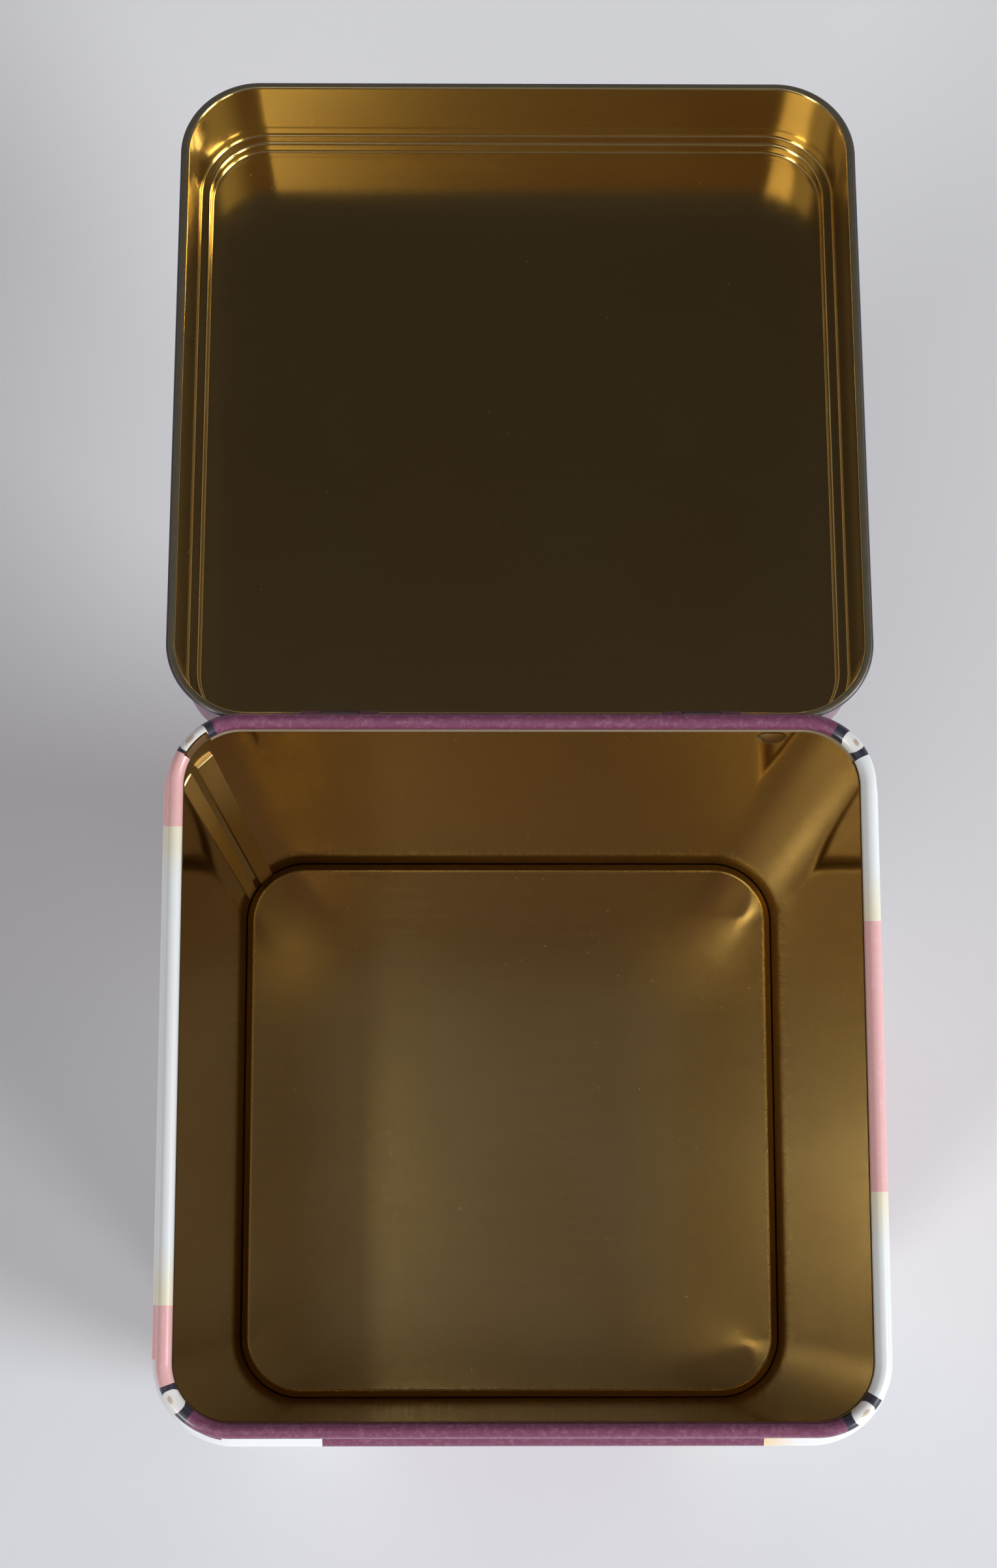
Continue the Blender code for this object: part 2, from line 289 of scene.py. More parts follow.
def printedTin(name, centre, topZ, turned=0.0, onLid=False):
    material, shader, place = startMaterial(name)
    turn = Matrix.Rotation(turned, 3, "X")
    shift = hinge - turn @ hinge - Vector(centre) - Vector((0, 0, topZ))
    steady = place.node(
        "ShaderNodeMapping", {}, {"Vector": place, "Location": shift, "Rotation": (turned, 0, 0)}
    )
    split = steady.node("ShaderNodeSeparateXYZ", {}, {0: steady})
    x, y, z = split, split.other(1), split.other(2)
    reachX = abs(x) - panels["cornerCentre"]
    reachY = abs(y) - panels["cornerCentre"]
    inCorner = (reachX > 0) * (reachY > 0)
    angle = reachY.calc("ARCTAN2", reachY, reachX) * (180 / math.pi)
    outward = reachX.calc("SQRT", reachX * reachX + reachY * reachY) - panels["cornerRadius"]
    mottle = place.noise(printInk["mottlePerMetre"], 4.0, 0.65)
    fleck = place.noise(printInk["fleckPerMetre"], 3.0, 0.7)
    blush = place.noise(printInk["blushPerMetre"], 3.0, 0.7).easeBetween(0.44, 0.72)
    ends = (blush * 0.75).tint(printInk["plum"], printInk["plumLight"])
    # side panels, their ends slanting a little over the shoulder
    slanted = (y + panels["slantFrom"]) * z.most(panels["slantBelow"])
    run = y + slanted / panels["slantReach"]
    leftRose = (run > panels["leftRoseBack"]).most(run < panels["leftRoseFront"])
    leftDeep = (panels["leftRoseBack"] - run).least(run - panels["leftRoseFront"])
    rightRose = (run < panels["rightRoseBack"]) * (run > panels["rightRoseFront"])
    rightDeep = (run - panels["rightRoseBack"]).most(panels["rightRoseFront"] - run)
    onRight = x > 0
    rose = leftRose * (1 - onRight) + rightRose * onRight
    deep = leftDeep * (1 - onRight) + rightDeep * onRight
    pale = deep.easeBetween(0.0, panels["creamFade"]).tint(printInk["cream"], printInk["white"])
    warm = blush.tint(printInk["rose"], printInk["roseLight"])
    sides = rose.tint(pale, warm)
    # pale fields on the front shoulder
    low, high = panels["shoulderWhite"]
    onShoulder = (z < panels["shoulderTop"]) * (y < 0)
    field = onShoulder * ((x > low) * (x < high)).most(x > panels["shoulderPeach"])
    fieldTone = (x - panels["shoulderPeach"]).easeBetween(0.0, panels["peachFade"])
    fieldTone = fieldTone.most(x < 0).tint(printInk["peach"], printInk["white"])
    ends = field.tint(ends, fieldTone)
    onEnds = (inCorner * (angle > 45.0)).most(reachX < 0)
    tone = onEnds.tint(sides, ends)
    # corner columns with a string of pearls
    start = perCorner(x, y, panels["columnStart"])
    end = perCorner(x, y, panels["columnEnd"])
    column = inCorner * (angle - start > 0) * (end - angle > 0)
    tone = column.tint(tone, printInk["navy"])
    edging = inCorner * onShoulder * (outward > panels["edgingOut"])
    tone = edging.tint(tone, printInk["white"])
    onBead = z > panels["beadFoot"]
    beadAlong = (outward + panels["beadPearlShift"]) / panels["beadPearlHalf"]
    wallRun = z.calc("PINGPONG", z + panels["wallPearlShift"], panels["pearlPitch"] / 2)
    wallAlong = wallRun / panels["pearlHalf"]
    along = beadAlong * onBead + wallAlong * (1 - onBead)
    across = (angle - perCorner(x, y, panels["pearlAngle"])) / perCorner(x, y, panels["pearlSpread"])
    round3 = abs(across * across * across) + abs(along * along * along)
    gapFoot, gapTop = panels["pearlGap"]
    pearl = inCorner * (round3 < 1.0) * (z > gapTop).most(z < gapFoot)
    sideways = across + 0.25 + (fleck - 0.5) * 0.8
    lift = along - 0.2
    smudge = 1 - (sideways * sideways * 1.5 + lift * lift * 4).easeBetween(0.08, 0.42)
    rim = round3.easeBetween(0.72, 1.0) * 0.35
    tone = pearl.tint(tone, (smudge * 0.8 + rim).tint(printInk["pearl"], printInk["pearlShade"]))
    if onLid:
        # plain plum with a navy hem and ledge, and fine cream lines
        onTop = z > panels["lidTop"]
        reach = reachX.most(reachY)
        hemTop, ledgeStart = panels["lidNavy"]
        ringStart, ringEnd = panels["lidRing"]
        tone = (onTop * (reach > ledgeStart)).most(z < hemTop).tint(ends, printInk["navy"])
        ring = onTop * (reach < ringEnd) * (reach > ringStart)
        tone = ring.tint(tone, printInk["cream"])
    worn = fleck.easeBetween(0.7, 0.74) * 0.2
    feed(shader, "Base Color", worn.tint(tone, printInk["pearl"]))
    feed(shader, "Roughness", mottle * 0.12 + 0.3)
    shader.inputs["Coat Weight"].default_value = 0.4
    shader.inputs["Coat Roughness"].default_value = 0.2
    addRelief(shader, fleck, 0.15, 0.00001)
    return material


# Unprinted metal: the lip's margin, painted lit and pale at the rear and painted shade elsewhere, and the
# seam's brown lap

margin = {
    "pale": ((0.40, 0.32, 0.22, 1), (0.66, 0.58, 0.44, 1)),
    "paintedShade": ((0.030, 0.022, 0.016, 1), (0.055, 0.042, 0.028, 1)),
    "lap": ((0.20, 0.115, 0.055, 1), (0.30, 0.185, 0.095, 1)),
    "rearStart": 47.6 * mm,
    "rearFade": 0.5 * mm,
    "grainPerMetre": 1800.0,
}


def bareMargin(name, first, second=None):
    material, shader, place = startMaterial(name)
    grain = place.noise(margin["grainPerMetre"], 3.0)
    tone = grain.tint(*margin[first])
    if second:
        split = place.node("ShaderNodeSeparateXYZ", {}, {0: place})
        start = margin["rearStart"]
        # the rear part of the lip gets the pale tone as painted light, the rest the painted shade
        rear = (split.other(1) - bodyCentre.y).easeBetween(start, start + margin["rearFade"])
        tone = rear.tint(grain.tint(*margin[second]), tone)
    feed(shader, "Base Color", tone)
    feed(shader, "Roughness", grain * 0.15 + 0.35)
    shader.inputs["Metallic"].default_value = 0.4
    return material


# Hinge wire: bare steel with fine drawing lines along it

wire = {
    "tones": ((0.42, 0.41, 0.40, 1), (0.62, 0.61, 0.60, 1)),
    "grainPerMetre": 5000.0,
    "grainStretch": (0.05, 1.0, 1.0),
}


def drawnWire(name):
    material, shader, place = startMaterial(name)
    grain = place.stretch(wire["grainStretch"]).noise(wire["grainPerMetre"], 3.0)
    feed(shader, "Base Color", grain.tint(*wire["tones"]))
    feed(shader, "Roughness", grain * 0.22 + 0.22)
    shader.inputs["Metallic"].default_value = 1.0
    return material


# Modelling steps shared by the sheet pieces

def pickOnly(piece):
    bpy.ops.object.select_all(action="DESELECT")
    piece.select_set(True)
    bpy.context.view_layer.objects.active = piece


def startEditing(piece):
    pickOnly(piece)
    bpy.ops.object.mode_set(mode="EDIT")


def pickFaces(piece, test):
    bpy.ops.mesh.select_mode(type="FACE")
    bpy.ops.mesh.select_all(action="DESELECT")
    bpy.ops.object.mode_set(mode="OBJECT")
    picked = 0
    for face in piece.data.polygons:
        face.select = test(face)
        picked += face.select
    bpy.ops.object.mode_set(mode="EDIT")
    return picked


def giveMaterial(piece, slot, test):
    startEditing(piece)
    picked = pickFaces(piece, test)
    piece.active_material_index = slot
    bpy.ops.object.material_slot_assign()
    bpy.ops.object.mode_set(mode="OBJECT")
    return picked


def applyStep(piece, kind, **settings):
    pickOnly(piece)
    step = piece.modifiers.new(kind.title(), kind)
    for key, value in settings.items():
        setattr(step, key, value)
    bpy.ops.object.modifier_apply(modifier=step.name)


def arc(middle, radius, start, end, steps):
    points = []
    for index in range(steps + 1):
        angle = math.radians(start + (end - start) * index / steps)
        points.append((middle[0] + radius * math.cos(angle), middle[1] + radius * math.sin(angle)))
    return points


def drawLine(name, points):
    bpy.ops.object.select_all(action="DESELECT")
    bpy.ops.mesh.primitive_plane_add(size=mm)
    piece = bpy.context.object
    piece.name = piece.data.name = name
    bpy.ops.object.mode_set(mode="EDIT")
    bpy.ops.mesh.select_mode(type="VERT")
    bpy.ops.mesh.select_all(action="SELECT")
    bpy.ops.mesh.merge(type="CENTER")
    bpy.ops.mesh.select_all(action="SELECT")
    bpy.ops.transform.translate(value=points[0])
    for before, after in zip(points, points[1:]):
        step = Vector(after) - Vector(before)
        bpy.ops.mesh.extrude_region_move(TRANSFORM_OT_translate={"value": step})
    bpy.ops.mesh.select_all(action="SELECT")
    return piece


def drawFront(name, outline, centre):
    # the profile stands at the middle of the front side, offset outwards from the neck
    return drawLine(name, [(0, centre.y - neckHalf - offset, z) for offset, z in outline])


def closeSeams():
    bpy.ops.mesh.select_all(action="SELECT")
    bpy.ops.mesh.remove_doubles(threshold=mergeGap)
    bpy.ops.mesh.normals_make_consistent(inside=False)


def carryRound(centre, turnSteps, sideSteps=6):
    # along each straight side and round each corner, back to the start
    reach = panels["cornerCentre"]
    runs = [(reach, 0), (0, 2 * reach), (-2 * reach, 0), (0, -2 * reach), (reach, 0)]
    corners = [(reach, -reach), (reach, reach), (-reach, reach), (-reach, -reach)]
    for index, run in enumerate(runs):
        for part in range(sideSteps):
            step = (run[0] / sideSteps, run[1] / sideSteps, 0)
            bpy.ops.mesh.extrude_region_move(TRANSFORM_OT_translate={"value": step})
        if index < len(corners):
            middle = (centre.x + corners[index][0], centre.y + corners[index][1], 0)
            bpy.ops.mesh.spin(steps=turnSteps, angle=-math.pi / 2, center=middle, axis=(0, 0, 1))
    closeSeams()


def closePanel(piece, height):
    # the flat middle is filled from its edge loop
    bpy.ops.mesh.select_mode(type="EDGE")
    bpy.ops.mesh.select_all(action="DESELECT")
    bpy.ops.mesh.select_non_manifold(extend=False)
    bpy.ops.object.mode_set(mode="OBJECT")
    spots = piece.data.vertices
    for edge in piece.data.edges:
        edge.select = edge.select and abs(spots[edge.vertices[0]].co.z - height) < 0.01 * mm
    for vertex in spots:
        vertex.select = False
    bpy.ops.object.mode_set(mode="EDIT")
    bpy.ops.mesh.edge_face_add()
    bpy.ops.mesh.select_all(action="SELECT")
    bpy.ops.mesh.normals_make_consistent(inside=False)


def smoothPiece(piece, degrees):
    pickOnly(piece)
    bpy.ops.object.shade_smooth_by_angle(angle=math.radians(degrees))
    applyStep(piece, "WEIGHTED_NORMAL", keep_sharp=True)


def cornerPlace(point, centre):
    # how far outwards a point lies, and its angle round the corner, counted from the side
    reachX = abs(point.x - centre.x) - panels["cornerCentre"]
    reachY = abs(point.y - centre.y) - panels["cornerCentre"]
    if reachX > 0 and reachY > 0:
        return math.hypot(reachX, reachY) - panels["cornerRadius"], math.degrees(math.atan2(reachY, reachX))
    return max(reachX, reachY) - panels["cornerRadius"], 90.0 if reachY > reachX else 0.0


def giveThickness(piece, inner, rim):
    applyStep(
        piece,
        "SOLIDIFY",
        thickness=sheet,
        offset=0.0,
        use_even_offset=True,
        material_offset=inner,
        material_offset_rim=rim,
    )


def box(name, low, high):
    bpy.ops.object.select_all(action="DESELECT")
    middle = [(a + b) / 2 for a, b in zip(low, high)]
    bpy.ops.mesh.primitive_cube_add(size=1, location=middle, scale=[b - a for a, b in zip(low, high)])
    bpy.context.object.name = name
    return bpy.context.object


def combine(piece, tool, operation):
    applyStep(piece, "BOOLEAN", operation=operation, solver="EXACT", object=tool)
    bpy.data.objects.remove(tool, do_unlink=True)


# Body wall

wall = {
    "standOut": 1.75 * mm,
    "shoulderDrop": 11.8 * mm,
    "neckDrop": 10.0 * mm,
    "curlRadius": 1.2 * mm,
    "lipLength": 2.4 * mm,
    "foot": 0.55 * mm,
    "taper": (2.6 * mm, 9.5 * mm),
    "taperIn": 0.24 * mm,
    "taperEase": 0.7 * mm,
    "turnSteps": 30,
    "shoulderSteps": 14,
    "smoothAngle": 22,
    "notch": (28.0, 57.0),
    "notchDepth": 6 * mm,
    "notchInside": -1.6 * mm,
    "margin": (5 * mm, 1.9 * mm),
    "marginInside": -2.3 * mm,
    "windowWidth": 13.5 * mm,
    "windowBelow": 1.4 * mm,
    "windowAbove": 5.0 * mm,
}
dimple = {
    "x": 41.8 * mm,
    "drop": 27.2 * mm,
    "radius": 2.7 * mm,
    "height": 1.1 * mm,
    "sunk": 0.1 * mm,
    "hollowRadius": 2.4 * mm,
    "hollowDepth": 0.14 * mm,
}
hingeFit = {
    "spread": 29.0 * mm,
    "pinRadius": 0.4 * mm,
    "pinLength": 12.8 * mm,
    "pinEase": 0.1 * mm,
    "knuckleMid": 0.725 * mm,
    "lidKnuckleHalf": 2.9 * mm,
    "bodyKnuckleStart": 3.2 * mm,
    "bodyKnuckleEnd": 6.25 * mm,
    "tabRoot": 0.6 * mm,
    "tabThickness": sheet * 0.96,
    "setBack": 2.15 * mm,
    "wallGap": 0.4 * mm,
    "windowReach": 1.2 * mm,
    "turnSteps": 24,
}


def buildBodyWall():
    half = sheet / 2
    mid = wall["standOut"] - half
    shoulder = rimTop - wall["shoulderDrop"]
    low, high = wall["taper"]
    narrow = mid - wall["taperIn"]
    outline = [(narrow, wall["foot"]), (narrow, low), (mid, high), (mid, high + wall["taperEase"])]
    outline += [(mid, wall["foot"] + share * (shoulder - wall["foot"])) for share in (0.3, 0.6, 0.9)]
    for index in range(wall["shoulderSteps"] + 1):
        share = index / wall["shoulderSteps"]
        inward = (1 - math.cos(math.pi * share)) / 2
        rise = (wall["shoulderDrop"] - wall["neckDrop"]) * share
        outline.append((mid - wall["standOut"] * inward, shoulder + rise))
    curl = wall["curlRadius"]
    outline += arc((-curl, rimTop - curl), curl - half, 0, 180, 20)
    lipX, lipZ = outline[-1]
    outline += [(lipX, lipZ - wall["lipLength"] * share) for share in (0.3, 0.65, 1.0)]
    piece = drawFront("bodyWall", outline, bodyCentre)
    carryRound(bodyCentre, wall["turnSteps"])
    bpy.ops.object.mode_set(mode="OBJECT")
    return piece


def notchLip(piece):
    # the curl is cut back where the lock seam runs up into it
    startEditing(piece)
    low, high = wall["notch"]

    def inNotch(face):
        spot = face.center
        if spot.x > 0 or spot.y < bodyCentre.y or spot.z < rimTop - wall["notchDepth"]:
            return False
        outward, angle = cornerPlace(spot, bodyCentre)
        return outward < wall["notchInside"] and low < angle < high

    picked = pickFaces(piece, inNotch)
    bpy.ops.mesh.delete(type="FACE")
    bpy.ops.object.mode_set(mode="OBJECT")
    print("lip notch:", picked, "faces")


def knuckle(name, line, low, high):
    piece = drawLine(name, [(low, y, z) for y, z in line])
    bpy.ops.mesh.extrude_region_move(TRANSFORM_OT_translate={"value": (high - low, 0, 0)})
    bpy.ops.mesh.select_all(action="SELECT")
    bpy.ops.mesh.normals_make_consistent(inside=False)
    bpy.ops.object.mode_set(mode="OBJECT")
    applyStep(piece, "SOLIDIFY", thickness=hingeFit["tabThickness"], offset=0.0, use_even_offset=True)
    return piece


bodyWall = buildBodyWall()
bodyWall.data.materials.append(printedTin("bodyPrint", bodyCentre, rimTop))
bodyWall.data.materials.append(goldLacquer("bodyLacquer", (1, 1, 0.1), 0.12, 0.05))
# the lip's margin: painted light at the rear, painted shade elsewhere
bodyWall.data.materials.append(bareMargin("bodyMargin", "pale", "paintedShade"))
notchLip(bodyWall)
giveThickness(bodyWall, inner=1, rim=2)
print("body wall swept:", len(bodyWall.data.polygons), "faces")

for side in (-1, 1):
    middle = side * hingeFit["spread"]
    half = wall["windowWidth"] / 2
    reach = hingeFit["setBack"] + hingeFit["windowReach"]
    low = (middle - half, hinge.y - reach, hinge.z - wall["windowBelow"])
    high = (middle + half, hinge.y, hinge.z + wall["windowAbove"])
    combine(bodyWall, box("hingeWindow", low, high), "DIFFERENCE")

wallMid = -hingeFit["wallGap"] - sheet / 2
bodyTab = [
    (wallMid, hinge.z - wall["windowBelow"] - hingeFit["tabRoot"]),
    (wallMid, hinge.z - wall["windowBelow"]),
    (-hingeFit["knuckleMid"], hinge.z - hingeFit["knuckleMid"]),
]
bodyTab += arc((0, hinge.z), hingeFit["knuckleMid"], 180, -90, hingeFit["turnSteps"])
for side in (-1, 1):
    for end in (-1, 1):
        middle = side * hingeFit["spread"]
        edges = sorted(middle + end * hingeFit[key] for key in ("bodyKnuckleStart", "bodyKnuckleEnd"))
        combine(bodyWall, knuckle("bodyKnuckle", bodyTab, *edges), "UNION")
print("hinge windows and body knuckles done")


def hollowBack(piece):
    # the rear wall's dimple is pressed from outside, so it leaves a shallow hollow there
    radius, depth = dimple["hollowRadius"], dimple["hollowDepth"]
    ballRadius = (radius**2 + depth**2) / (2 * depth)
    outerFace = bodyCentre.y + neckHalf + wall["standOut"]
    bpy.ops.object.select_all(action="DESELECT")
    bpy.ops.mesh.primitive_uv_sphere_add(
        segments=48,
        ring_count=120,
        radius=ballRadius,
        location=(dimple["x"], outerFace - depth + ballRadius, rimTop - dimple["drop"]),
        rotation=(math.pi / 2, 0, 0),
    )
    combine(piece, bpy.context.object, "DIFFERENCE")


hollowBack(bodyWall)
print("dimple hollow done")


def onLipMargin(face):
    outward = cornerPlace(face.center, bodyCentre)[0]
    deepest, highest = wall["margin"]
    level = rimTop - deepest < face.center.z < rimTop - highest
    return level and outward < wall["marginInside"]


print("lip margin:", giveMaterial(bodyWall, 2, onLipMargin), "faces")
smoothPiece(bodyWall, wall["smoothAngle"])
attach(bodyWall, "tin_body")
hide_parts("body_wall")


# Dimple: the low dome on the rear wall's inner face

def buildDimple():
    radius, height = dimple["radius"], dimple["height"]
    capRadius = (radius**2 + height**2) / (2 * height)
    innerFace = bodyCentre.y + neckHalf + wall["standOut"] - sheet
    spread = math.degrees(math.asin(radius / capRadius))
    level = rimTop - dimple["drop"]
    line = arc((0, innerFace - height + capRadius), capRadius, -90, -90 + spread, 14)
    line += [(radius, innerFace + dimple["sunk"]), (0, innerFace + dimple["sunk"])]
    middle = (dimple["x"], innerFace, level)
    piece = drawLine("rearDimple", [(dimple["x"] + reach, y, level) for reach, y in line])
    bpy.ops.mesh.spin(steps=64, angle=2 * math.pi, center=middle, axis=(0, 1, 0))
    closeSeams()
    bpy.ops.object.mode_set(mode="OBJECT")
    smoothPiece(piece, 35)
    return piece


def onDimpleRing(face):
    # painted highlight where the dome turns down or sideways
    return face.normal.z < -0.06 or (abs(face.normal.x) > 0.45 and face.normal.z < 0.35)


rearDimple = buildDimple()
# the dome gets darker lacquer as painted shade, and its ring a paler lacquer as painted highlight
rearDimple.data.materials.append(paintedGrooveShade)
rearDimple.data.materials.append(paintedFoldHighlight)
print("dimple ring:", giveMaterial(rearDimple, 1, onDimpleRing), "faces")
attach(rearDimple, "tin_body")


# Seam lap: the flat end of the lock seam that shows in the lip's notch

lap = {
    "low": 29.0,
    "high": 56.0,
    "top": 0.9 * mm,
    "depth": 7.5 * mm,
    "inset": 1.75 * mm,
    "footIn": 0.9 * mm,
    "easedEdge": 0.05 * mm,
}


def buildSeamLap():
    centre = (-panels["cornerCentre"], bodyCentre.y + panels["cornerCentre"], 0)
    radius = panels["cornerRadius"] - lap["inset"]
    start = math.radians(180 - lap["low"])
    outline = [(0, rimTop - lap["top"]), (0, rimTop - lap["depth"] * 0.6)]
    outline.append((lap["footIn"], rimTop - lap["depth"]))
    points = []
    for offset, z in outline:
        spread = radius + offset
        points.append((centre[0] + spread * math.cos(start), centre[1] + spread * math.sin(start), z))
    piece = drawLine("seamLap", points)
    turn = math.radians(lap["high"] - lap["low"])
    bpy.ops.mesh.spin(steps=9, angle=turn, center=centre, axis=(0, 0, 1))
    closeSeams()
    bpy.ops.object.mode_set(mode="OBJECT")
    applyStep(piece, "SOLIDIFY", thickness=sheet, offset=0.0)
    applyStep(piece, "BEVEL", width=lap["easedEdge"], segments=2, limit_method="ANGLE")
    smoothPiece(piece, 35)
    return piece


seamLap = buildSeamLap()
seamLap.data.materials.append(bareMargin("lapMetal", "lap"))
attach(seamLap, "tin_body")
print("seam lap done")


# Seam strips: the two flat folds of the lock seam, standing across the rounded corner

seam = {
    "strips": {"rearSeamStrip": (39.0, 55.0, 0.45 * mm), "sideSeamStrip": (20.0, 33.5, 0.16 * mm)},
    "foot": 3.9 * mm,
    "top": rimTop - 29.5 * mm,
    "topSlant": 0.25 * mm,
    "easedEdge": 0.14 * mm,
    "sunk": 0.1 * mm,
}


def buildSeamStrip(name, low, high, rise):
    inner = panels["cornerRadius"] + wall["standOut"] - sheet
    half = math.radians(high - low) / 2
    turn = math.pi / 2 - math.radians(low + high) / 2
    face = (inner - rise) * math.cos(half)
    back = inner + seam["sunk"]
    heading = Vector((-math.sin(turn), math.cos(turn), 0))
    cornerX, cornerY = -panels["cornerCentre"], bodyCentre.y + panels["cornerCentre"]
    middle = Vector((cornerX, cornerY, (seam["foot"] + seam["top"]) / 2))
    size = (2 * (inner - rise) * math.sin(half), back - face, seam["top"] - seam["foot"])
    bpy.ops.object.select_all(action="DESELECT")
    bpy.ops.mesh.primitive_cube_add(
        size=1, location=middle + heading * (face + back) / 2, rotation=(0, 0, turn), scale=size
    )
    piece = bpy.context.object
    piece.name = piece.data.name = name
    bpy.ops.object.transform_apply(location=True, rotation=True, scale=True)
    # the top end slants down towards the inside
    startEditing(piece)
    bpy.ops.mesh.select_mode(type="VERT")
    bpy.ops.mesh.select_all(action="DESELECT")
    bpy.ops.object.mode_set(mode="OBJECT")
    for vertex in piece.data.vertices:
        inside = (vertex.co - middle).dot(heading) < (face + back) / 2
        vertex.select = inside and vertex.co.z > middle.z
    bpy.ops.object.mode_set(mode="EDIT")
    bpy.ops.transform.translate(value=(0, 0, -seam["topSlant"]))
    bpy.ops.object.mode_set(mode="OBJECT")
    applyStep(piece, "BEVEL", width=seam["easedEdge"], segments=3, limit_method="ANGLE")
    smoothPiece(piece, 35)
    piece.data.materials.append(seamLacquer)
    piece.data.materials.append(paintedFoldHighlight)
    piece.data.materials.append(paintedGrooveShade)

    def onFold(face):
        # the eased edges that face the inside, along the rear side and across the top, get a painted
        # highlight
        across = Vector((heading.y, -heading.x, 0)).dot(face.normal)
        inward = -heading.dot(face.normal)
        return inward > 0.2 and (0.3 < across < 0.95 or 0.2 < face.normal.z < 0.85)

    print(name, "fold:", giveMaterial(piece, 1, onFold), "faces")
    # the top end: darker lacquer as painted shade under the lap
    print(name, "end:", giveMaterial(piece, 2, lambda face: face.normal.z > 0.85), "faces")
    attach(piece, "tin_body")
    return piece


seamLacquer = goldLacquer("seamLacquer", (1, 1, 0.1), 0.42, 0.1)
for stripName, sizes in seam["strips"].items():
    buildSeamStrip(stripName, *sizes)
print("seam strips done")


# Base end

base = {
    "panelHeight": 3.3 * mm,
    "edgeInset": 0.15 * mm,
    "edgeBend": 1.3 * mm,
    "edgeSlope": math.radians(22),
    "footBend": 0.25 * mm,
    "seamHeight": 3.0 * mm,
    "foldRadius": 0.2 * mm,
    "foldTail": 1.3 * mm,
    "fit": 0.3 * mm,
    "chuckGap": 0.08 * mm,
    "chuckBend": 0.2 * mm,
    "panelRim": 2 * mm,
    "edgeRoom": 0.02 * mm,
}


def buildBaseEnd():
    half = sheet / 2
    panelMid = base["panelHeight"] - half
    chuck = wall["standOut"] - wall["taperIn"] - sheet - base["chuckGap"] - half
    bend, slope, last = base["edgeBend"], base["edgeSlope"], base["chuckBend"]
    turned = 90 - math.degrees(slope)
    start = -base["edgeInset"] - bend * math.sin(slope)
    outline = [(start - base["panelRim"], panelMid)]
    outline += arc((start, panelMid - bend), bend, 90, turned, 8)
    edgeX, edgeZ = outline[-1]
    run = chuck - last + last * math.sin(slope) - edgeX
    slopeFoot = edgeZ - run * math.tan(slope)
    outline += arc((chuck - last, slopeFoot - last * math.cos(slope)), last, turned, 0, 5)
    foot = base["footBend"]
    outline += arc((chuck + foot, half + foot), foot, 180, 270, 4)
    foldInner = wall["standOut"] + base["fit"] + half
    foldOuter = foldInner + 2 * base["foldRadius"]
    outline += arc((foldOuter - foot, half + foot), foot, -90, 0, 4)
    fold = (foldInner + base["foldRadius"], base["seamHeight"] - half - base["foldRadius"])
    outline += arc(fold, base["foldRadius"], 0, 180, 8)
    outline.append((foldInner, base["seamHeight"] - base["foldTail"]))
    piece = drawFront("baseEnd", outline, bodyCentre)
    carryRound(bodyCentre, wall["turnSteps"])
    closePanel(piece, panelMid)
    bpy.ops.object.mode_set(mode="OBJECT")
    giveThickness(piece, inner=0, rim=0)
    smoothPiece(piece, 35)
    return piece


# the panel's edge bend: paler, rougher lacquer, partly real wear and partly a painted highlight
def onPanelEdge(face):
    outward = cornerPlace(face.center, bodyCentre)[0]
    low = -base["edgeInset"] - base["edgeBend"] * math.sin(base["edgeSlope"]) - base["edgeRoom"]
    high = -base["edgeInset"] + base["edgeRoom"]
    return face.center.z > base["panelHeight"] - sheet / 2 and low < outward < high


# the slope from the panel's edge down to the wall: darker lacquer as painted shade
def onEdgeSlope(face):
    outward = cornerPlace(face.center, bodyCentre)[0]
    low = -base["edgeInset"] + base["edgeRoom"]
    return low < outward < wall["standOut"] - sheet and face.normal.z > 0.2


baseEnd = buildBaseEnd()
baseEnd.data.materials.append(goldLacquer("baseLacquer", (0.08, 1, 1), 0.21, 0.12))
baseEnd.data.materials.append(wornEdgeAndHighlight)
baseEnd.data.materials.append(paintedGrooveShade)
print("panel edge:", giveMaterial(baseEnd, 1, onPanelEdge), "faces")
print("panel slope:", giveMaterial(baseEnd, 2, onEdgeSlope), "faces")
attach(baseEnd, "tin_body")
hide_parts("base_end")
print("base end done:", len(baseEnd.data.polygons), "faces")


# Lid, drawn shut and then swung back to its stop

lidSizes = {
    "innerGap": 0.75 * mm,
    "forward": 0.2 * mm,
    "hemDrop": 10.6 * mm,
    "hemRadius": 0.625 * mm,
    "hemInner": 0.25 * mm,
    "hemOuter": 0.42 * mm,
    "skirtWiden": 1.0062,
    "hemWiden": 1.0055,
    "ledgeDepth": 16.5 * mm,
    "panelDepth": 19.1 * mm,
    "ledgeCorner": 0.525 * mm,
    "stepBend": 0.45 * mm,
    "ledgeInner": -0.5 * mm,
    "panel": -1.4 * mm,
    "lean": math.radians(4.365),
    "notchWidth": 7.2 * mm,
    "notchIn": 0.5 * mm,
    "notchOut": 1.5 * mm,
    "widenBelowLedge": 0.1 * mm,
    "widenHemUpTo": 1.5 * mm,
    "edgeBand": (1.2 * mm, 0.3 * mm),
    "flatBand": 0.4 * mm,
    "flatTilt": 0.92,
}
lidCentre = Vector((0, bodyCentre.y - lidSizes["forward"], 0))
hemHeight = rimTop - lidSizes["hemDrop"]
lidTurnBack = math.pi + lidSizes["lean"]


